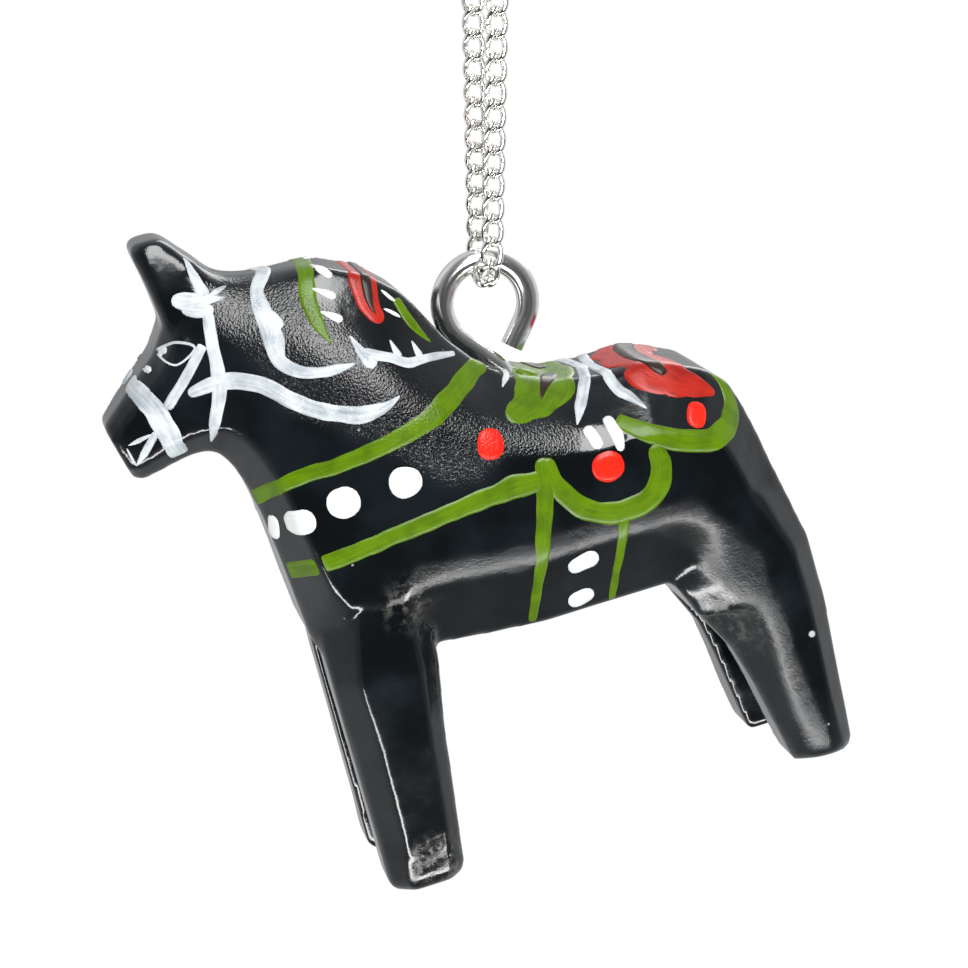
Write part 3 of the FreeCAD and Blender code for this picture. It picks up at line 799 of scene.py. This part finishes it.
# %% White strokes
WHITE = [
    dab(-11.3, -6.05, 0.56, 0.34, 80), dab(-10.25, -5.85, 0.62, 0.58), dab(-8.4, -5.45, 0.72, 0.70),
    dab(-5.75, -5.3, 0.72, 0.70), dab(0.7, -10.95, 0.72, 0.48, 12), dab(0.4, -12.7, 0.62, 0.46, 12),
    dab(2.35, -5.85, 0.52, 0.28, 105),
    [("round", "round"), (3.15, -5.25, 0.27), (3.3, -5.9, 0.29), (3.3, -6.7, 0.17)],
    [("point", "round"), (-6.9, 3.72, -0.7, 0.17), (-6.55, 3.5, -1.5, 0.21), (-6.2, 3.2, -1.85, 0.16)],
    [("point", "round"), (-7.25, 3.05, 0.17), (-6.8, 2.8, 0.22), (-6.3, 2.45, 0.17)],
    [("point", "round"), (-7.2, 2.15, 0.19), (-6.8, 1.9, 0.25), (-6.35, 1.55, 0.20)],
    [("point", "point"), (-4.45, 2.2, 0.13), (-4.2, 1.85, 0.17), (-3.95, 1.5, 0.12)],
    [("point", "point"), (-4.6, 1.5, 0.13), (-4.3, 1.25, 0.18), (-3.95, 0.9, 0.14)],
]
painted("white_dots", WHITE, dot_white, thickness=0.080)

# %% [markdown]
# The harness was painted last, with thin silvery white that has mostly dried into streaks: a
# noseband, a cheek strap, a strap down the jaw, a crown over the ears, the long rein along the
# neck, a saddle's edge, and a loose zigzag for the mane.

# %% Silvery strokes
HARNESS = [
    [("round", "blunt"), (-15.2, 1.1, -0.3, 0.40), (-14.75, 0.2, 0.50), (-14.4, -1.05, 0.52),
     (-14.1, -2.25, 0.44)],
    [("blunt", "round"), (-12.05, 2.1, 0.22), (-13.05, 1.0, 0.24), (-14.2, -0.15, 0.24)],
    [("round", "point"), (-11.5, 3.3, 0.26), (-11.7, 2.0, 0.28), (-11.85, 0.4, 0.34),
     (-12.4, -1.0, 0.28), (-12.8, -2.0, 0.14)],
    [("point", "round"), (-11.85, 5.6, 0.16), (-11.6, 4.7, 0.24), (-11.45, 3.8, 0.34)],
    [("round", "point"), (-12.8, 4.1, 0.30), (-12.1, 3.85, 0.46), (-11.4, 3.75, 0.46),
     (-10.6, 3.6, 0.26)],
    [("round", "round"), (-12.5, 3.65, 0.24), (-11.8, 3.4, 0.34), (-11.2, 3.3, 0.28)],
    [("point", "point"), (-11.5, 3.7, 0.20), (-11.0, 3.9, 0.24), (-10.4, 4.0, 0.14)],
    [("round", "point"), (-14.8, -0.95, 0.18), (-15.4, -1.6, 0.18), (-16.0, -2.2, 0.12)],
    [("round", "point"), (-15.0, -1.0, 0.05), (-15.6, -1.15, 0.12), (-16.1, -1.25, 0.06)],
    [("point", "point"), (-16.15, -1.3, 0.05), (-16.05, -1.8, 0.06), (-15.95, -2.2, 0.05)],
    [("round", "point"), (-13.2, 0.25, 0.22), (-11.8, 0.45, 0.38), (-10.4, 0.05, 0.38),
     (-9.15, -1.0, 0.38), (-8.25, -1.6, 0.38), (-6.9, -2.1, 0.40), (-5.9, -2.1, 0.36),
     (-5.0, -1.8, 0.20)],
    [("round", "point"), (3.45, -3.84, 0.5, 0.26), (3.1, -3.95, -1.6, 0.28), (2.65, -4.25, 0.28),
     (1.85, -5.25, 0.24)],
    [("round", "point"), (3.75, -3.87, 0.2, 0.24), (4.05, -4.35, -2.7, 0.28), (4.4, -4.8, 0.28),
     (4.95, -5.45, 0.20)],
    [("round", "point"), (0.1, -2.95, 0.4, 0.18), (-0.2, -3.0, -1.2, 0.18), (-0.65, -3.1, -2.65, 0.12)],
    [("round", "point"), (-8.6, 3.97, 0.5, 0.34), (-8.9, 3.85, -1.0, 0.36), (-9.35, 3.45, 0.30),
     (-9.35, 2.7, 0.42), (-9.3, 1.7, 0.46), (-9.3, 0.75, 0.36), (-8.65, 0.15, 0.28),
     (-7.7, -0.1, 0.24), (-6.35, -0.1, 0.16)],
    [("round", "round"), (-9.7, 3.1, 0.20), (-9.1, 2.4, 0.34), (-8.9, 1.9, 0.28)],
    [("point", "round"), (-6.3, 1.0, 0.20), (-6.1, 0.4, 0.32), (-5.8, -0.2, 0.36),
     (-5.55, -0.4, 0.24)],
    [("round", "round"), (-6.1, 0.25, 0.26), (-5.5, -0.05, 0.25), (-4.9, -0.35, 0.25),
     (-4.3, -0.75, 0.25), (-3.7, -0.85, 0.20), (-3.1, -0.95, 0.19), (-2.1, -1.2, 0.13)],
    [("point", "round"), (-4.75, 0.35, 0.12), (-4.65, -0.1, 0.26), (-4.55, -0.5, 0.28)],
    [("point", "round"), (-3.85, 0.0, 0.12), (-3.75, -0.45, 0.26), (-3.65, -0.85, 0.28)],
    [("round", "round"), (-13.9, 2.2, 0.06), (-13.1, 2.45, 0.07), (-12.4, 2.05, 0.06),
     (-13.3, 1.55, 0.05), (-13.9, 2.1, 0.05)],
    dab(-13.75, 2.15, 0.30, 0.16, 10), dab(-14.5, 1.6, 0.26, 0.16, -40),
]
painted("harness_painting", HARNESS, thin_white, thickness=0.055)

# %% [markdown]
# The chain and the clasp are polished silver. Metal is mostly reflection, so its finish is a
# pale tint, a low roughness that varies a little, and hair-fine wear. The screw eye is plated
# wire: greyer, with a torn, slightly brassy cut end.


# %% Metal finishes
def polished(name, tint, roughness, wear):
    material, recipe, place = new_finish(name)
    fine = recipe.noise(place, 7.0, 4.0, 0.6)
    slow = recipe.noise(place, 1.1, 2.0)
    normal = recipe.bump(fine, wear)
    finish_surface(
        recipe, Base_Color=(*tint, 1.0), Metallic=1.0, Normal=normal,
        Roughness=roughness + fine * 0.06 + slow * 0.05,
    )
    return material


silver = polished("polished_silver", (0.93, 0.92, 0.88), 0.05, 0.0012)

plated, recipe, place = new_finish("plated_wire")
at_cut = recipe.near(place, (0.68, 0.0, -2.12), 0.30, 0.20)
torn = recipe.noise(place, 5.0, 4.0, 0.7)
fine = recipe.noise(place, 4.0, 4.0, 0.6)
streaks_place = recipe.node(
    "ShaderNodeMapping", {"vector_type": "POINT"}, {"Vector": place, "Scale": (1.0, 5.0, 1.0)}
)["Vector"]
streaks = recipe.noise(streaks_place, 2.0, 4.0)
tint = recipe.mix(at_cut * recipe.between(torn, 0.35, 0.6), (0.86, 0.86, 0.85), (0.62, 0.55, 0.36))
wire_normal = recipe.bump(torn * at_cut, 0.05, recipe.bump(streaks, 0.004))
finish_surface(
    recipe, Base_Color=tint, Metallic=1.0, Roughness=0.15 + fine * 0.06 + at_cut * 0.20,
    Normal=wire_normal,
)

for node, thing in frame["nodes"].items():
    if node == "horse_body":
        continue
    for material_slot in thing.material_slots:
        material_slot.material = plated if node == "screw_eye" else silver
print("metal pieces", len(frame["nodes"]) - 1)
